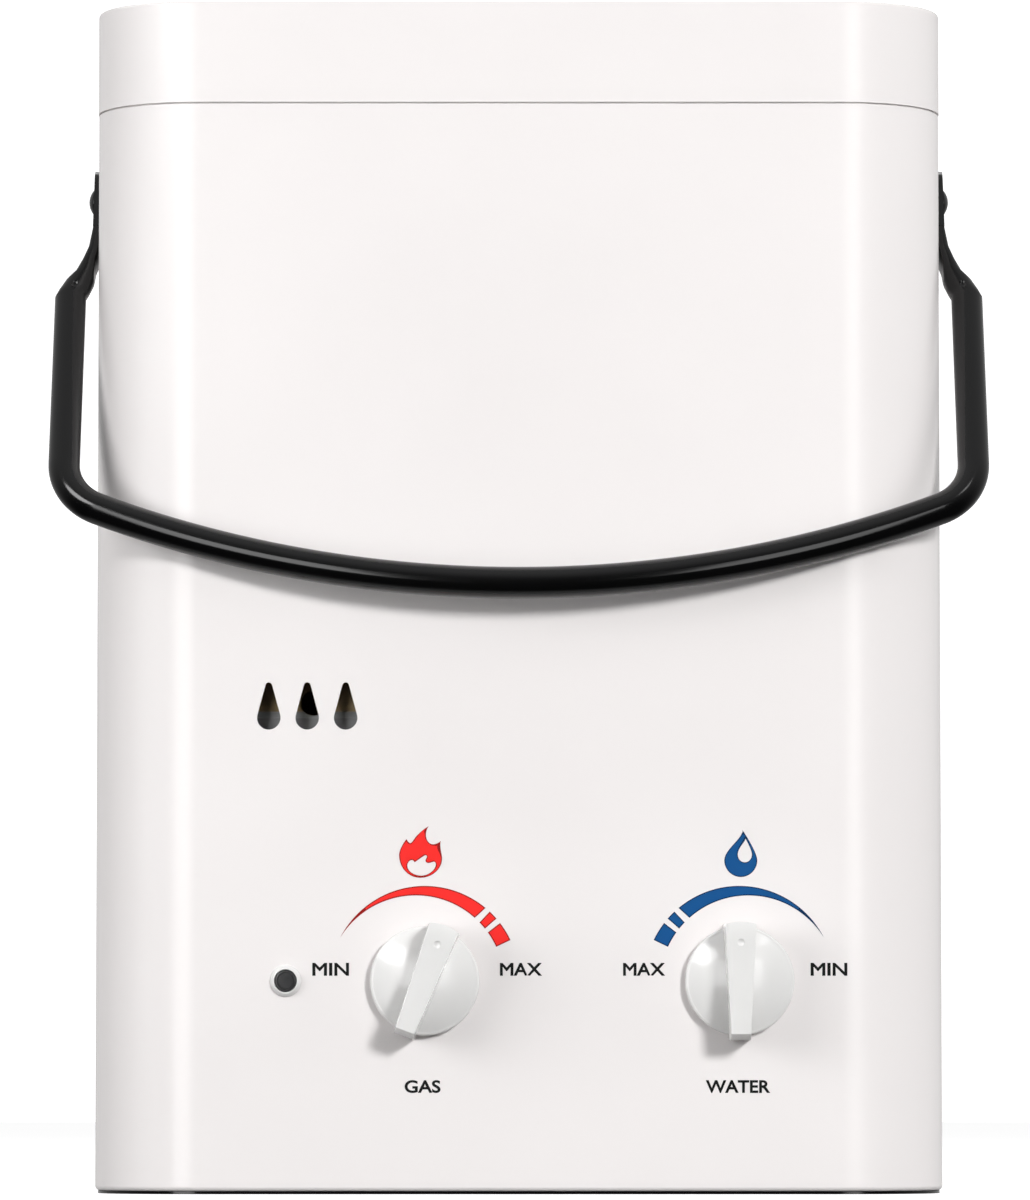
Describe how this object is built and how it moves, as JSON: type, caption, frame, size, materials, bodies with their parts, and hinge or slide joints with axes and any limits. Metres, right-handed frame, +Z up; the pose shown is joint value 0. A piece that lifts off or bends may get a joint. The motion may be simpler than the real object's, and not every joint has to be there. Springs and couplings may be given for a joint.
{
  "type": "portable propane water heater",
  "caption": "Upright white sheet-metal water heater with a rear-vented cap, two dial knobs, a push button, sight windows, a swinging tube handle and threaded fittings under a black pan.",
  "frame": {"origin": "middle of the casing's footprint on the surface that it stands on", "axes": "+Z up, +X to the user's right when facing the knobs, the front faces -Y"},
  "size_m": [0.3414, 0.1549, 0.432],
  "materials": {
    "white_enamel": "glossy warm white baked enamel",
    "galvanised": "galvanised sheet",
    "black_enamel": "satin black powder coat",
    "zinc_screw": "bright zinc plate",
    "nylon": "natural nylon",
    "white_gloss": "glossy white moulded plastic",
    "black_gloss": "glossy black moulded plastic",
    "brass": "turned brass",
    "cast_aluminium": "as die-cast",
    "copper": "copper",
    "stainless": "rolled stainless sheet",
    "black_plastic": "black moulded plastic",
    "ceramic": "glazed ceramic",
    "cell_sleeve": "plain foil sleeve"
  },
  "bodies": {
    "casing": {"front_cover": "white_enamel", "rain_cap": "white_enamel", "back_panel": "galvanised", "wall_bracket": "galvanised", "top_collar": "galvanised", "pivot_nut_plates": "galvanised", "chamber_brackets": "galvanised", "electrode_bracket": "galvanised", "burner_tray": "galvanised", "hinge_lugs": "galvanised", "bottom_pan": "black_enamel", "casing_screws": "zinc_screw", "cap_screws": "zinc_screw", "pivot_screws": "zinc_screw", "diaphragm_screws": "zinc_screw", "battery_hinge_pin": "zinc_screw", "pivot_washers": "nylon", "inlet_strainer": "nylon", "button_bezel": "white_gloss", "gas_inlet_fitting": "brass", "water_inlet_fitting": "brass", "water_outlet_fitting": "brass", "fitting_nuts": "brass", "drain_plug": "brass", "gas_nozzles": "brass", "water_valve_body": "brass", "diaphragm_cover": "brass", "pipe_nuts": "brass", "gas_valve_body": "cast_aluminium", "gas_manifold": "cast_aluminium", "cold_pipe": "copper", "hot_pipe": "copper", "exchanger_fins": "copper", "exchanger_tube": "copper", "exchanger_shell": "copper", "burner_bars": "stainless", "combustion_chamber": "stainless", "flue_hood": "stainless", "gas_solenoid": "stainless", "button_nut": "black_plastic", "power_switch": "black_plastic", "micro_switch": "black_plastic", "overheat_thermostat": "black_plastic", "battery_case": "black_plastic", "igniter_module": "black_plastic", "tip_over_switch": "black_plastic", "wiring_harness": "black_plastic", "spark_electrode": "ceramic", "flame_sensor": "ceramic", "battery_cells": "cell_sleeve"},
    "bail": {"bail_handle": "black_enamel"},
    "gas_control": {"gas_knob": "white_gloss", "gas_valve_stem": "zinc_screw"},
    "water_control": {"water_knob": "white_gloss", "water_valve_stem": "zinc_screw"},
    "button": {"power_button": "black_gloss"},
    "battery_lid": {"battery_door": "black_plastic", "battery_springs": "zinc_screw"},
    "pushrod": {"water_pushrod": "zinc_screw"}
  },
  "joints": [
    {"name": "bail_swing", "type": "hinge", "parent": "casing", "child": "bail", "pos_m": [0, 0, 0.3659], "axis": [-1, 0, 0], "range_deg": [0, 299]},
    {"name": "gas_turn", "type": "hinge", "parent": "casing", "child": "gas_control", "pos_m": [-0.03385, -0.0635, 0.0765], "axis": [0, 1, 0], "range_deg": [-85.2, 43.8]},
    {"name": "water_turn", "type": "hinge", "parent": "casing", "child": "water_control", "pos_m": [0.0794, -0.0635, 0.0765], "axis": [0, 1, 0], "range_deg": [-64.5, 64.5]},
    {"name": "button_push", "type": "slide", "parent": "casing", "child": "button", "axis": [0, 1, 0], "range_m": [0, 0.002], "stiffness_N_per_m": 500},
    {"name": "battery_door_swing", "type": "hinge", "parent": "casing", "child": "battery_lid", "pos_m": [-0.1, 0.0363, 0.0394], "axis": [1, 0, 0], "range_deg": [0, 90]},
    {"name": "pushrod_slide", "type": "slide", "parent": "casing", "child": "pushrod", "axis": [-1, 0, 0], "range_m": [0, 0.003], "stiffness_N_per_m": 300}
  ]
}
